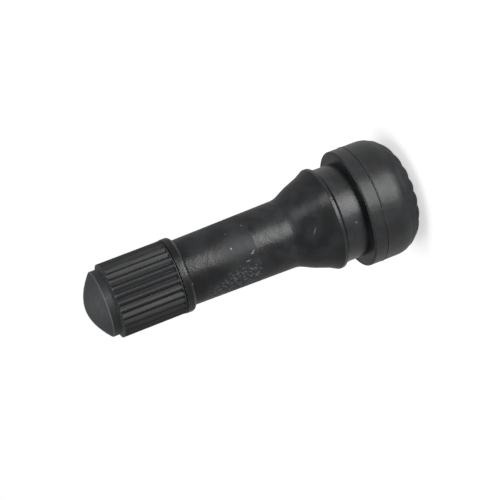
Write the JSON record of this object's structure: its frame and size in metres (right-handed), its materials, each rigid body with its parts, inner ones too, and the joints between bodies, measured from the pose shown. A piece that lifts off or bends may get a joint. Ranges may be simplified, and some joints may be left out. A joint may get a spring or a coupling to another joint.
{
  "type": "tyre valve",
  "caption": "Snap-in rubber tubeless tyre valve with a brass stem, a sprung valve core and a ribbed plastic screw cap.",
  "frame": {"origin": "centre of the rubber base's underside, on the valve's axis, at the bottom of its bounding box", "axes": "+Z along the valve's axis from the rubber base to the tip of the cap; +X and +Y square to it, the valve being round"},
  "size_m": [0.016, 0.016, 0.045],
  "materials": {
    "body_rubber": "satin black moulded rubber",
    "cap_plastic": "satin black moulded plastic",
    "brass": "turned",
    "spring_steel": "drawn wire",
    "seal_rubber": "matte",
    "washer_rubber": "matte"
  },
  "bodies": {
    "stem": {"rubber_body": "body_rubber", "brass_stem": "brass", "core_plug": "brass", "core_barrel": "brass", "barrel_washer": "washer_rubber", "core_spring": "spring_steel"},
    "plunger": {"core_pin": "spring_steel", "plunger_cup": "brass", "plunger_washer": "washer_rubber"},
    "seal": {"cap_seal": "seal_rubber"},
    "cap": {"valve_cap": "cap_plastic"}
  },
  "joints": [
    {"name": "cap_lift", "type": "slide", "parent": "stem", "child": "seal", "axis": [0, 0, 1], "range_m": [0, 0.01111]},
    {"name": "cap_turn", "type": "hinge", "parent": "seal", "child": "cap", "pos_m": [0, 0, 0.03182], "axis": [0, 0, 1], "range_deg": [0, 5040]},
    {"name": "pin_press", "type": "slide", "parent": "stem", "child": "plunger", "axis": [0, 0, -1], "range_m": [0, 0.0013], "stiffness_N_per_m": 900, "deforming": ["core_spring"]}
  ],
  "couplings": [
    {"joint": "cap_turn", "follows": "cap_lift", "rad_per_m": 7915.8}
  ]
}
